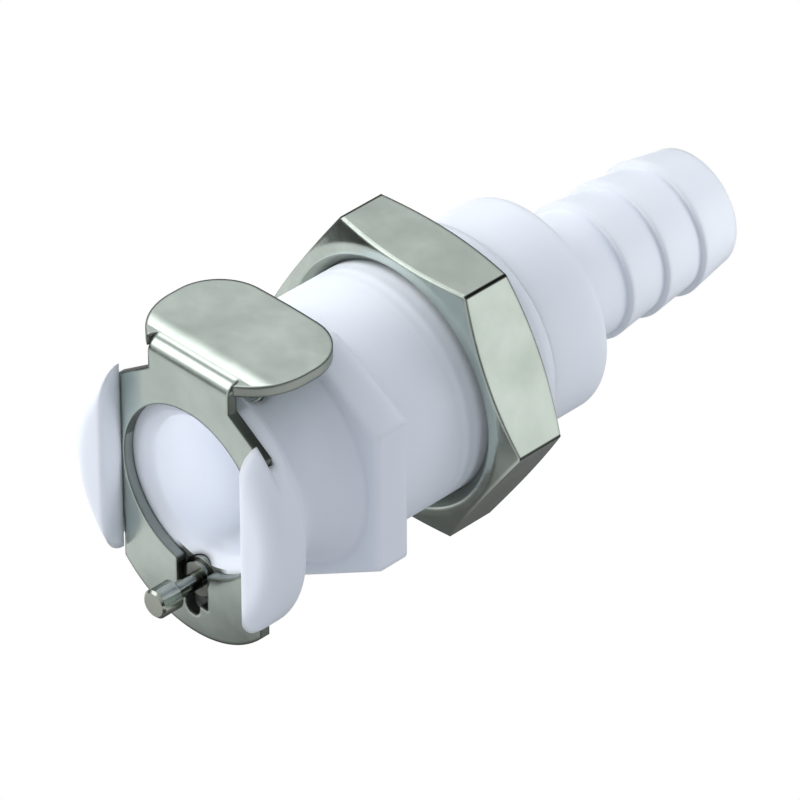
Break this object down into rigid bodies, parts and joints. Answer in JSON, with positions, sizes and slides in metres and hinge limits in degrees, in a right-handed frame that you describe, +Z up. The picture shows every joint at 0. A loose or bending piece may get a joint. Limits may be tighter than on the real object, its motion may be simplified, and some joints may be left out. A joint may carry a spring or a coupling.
{
  "type": "panel mount quick disconnect coupling",
  "caption": "Panel-mount plastic quick-disconnect coupling for tubing, with a spring-loaded metal thumb latch, an inner shut-off valve, a hex panel nut and a hose barb.",
  "frame": {"origin": "on the flow axis, in the plane of the flange face that seats against the panel", "axes": "+X along the flow axis from the open mouth to the hose barb, +Z up through the thumb tab"},
  "size_m": [0.0559, 0.0256, 0.0239],
  "materials": {
    "acetal": "smooth moulded, semi-gloss bluish white",
    "latch_steel": "smooth rolled stainless strip",
    "nut_metal": "polished plating on turned faces",
    "pin_steel": "turned stainless",
    "spring_steel": "drawn wire",
    "seal_rubber": "matte black"
  },
  "bodies": {
    "housing": {"body": "acetal", "hose_barb_tail": "acetal", "tail_seal": "seal_rubber", "latch_spring": "spring_steel", "pin_spring": "spring_steel", "valve_spring": "spring_steel"},
    "latch": {"thumb_latch": "latch_steel"},
    "pin": {"latch_pin": "pin_steel"},
    "valve": {"valve_poppet": "acetal", "valve_seal": "seal_rubber"},
    "nut": {"panel_nut": "nut_metal"}
  },
  "joints": [
    {"name": "latch_slide", "type": "slide", "parent": "housing", "child": "latch", "axis": [0, 0, 1], "range_m": [0, 0.0016], "deforming": ["latch_spring"]},
    {"name": "pin_slide", "type": "slide", "parent": "housing", "child": "pin", "axis": [1, 0, 0], "range_m": [0, 0.0017], "deforming": ["pin_spring"]},
    {"name": "valve_slide", "type": "slide", "parent": "housing", "child": "valve", "axis": [1, 0, 0], "range_m": [0, 0.0023], "stiffness_N_per_m": 400, "springref_m": -0.002, "deforming": ["valve_spring"]},
    {"name": "nut_slide", "type": "slide", "parent": "housing", "child": "nut", "axis": [1, 0, 0], "range_m": [-0.008, 0.00834]}
  ],
  "couplings": [
    {"joint": "pin_slide", "follows": "latch_slide", "ratio": 1.0625}
  ]
}
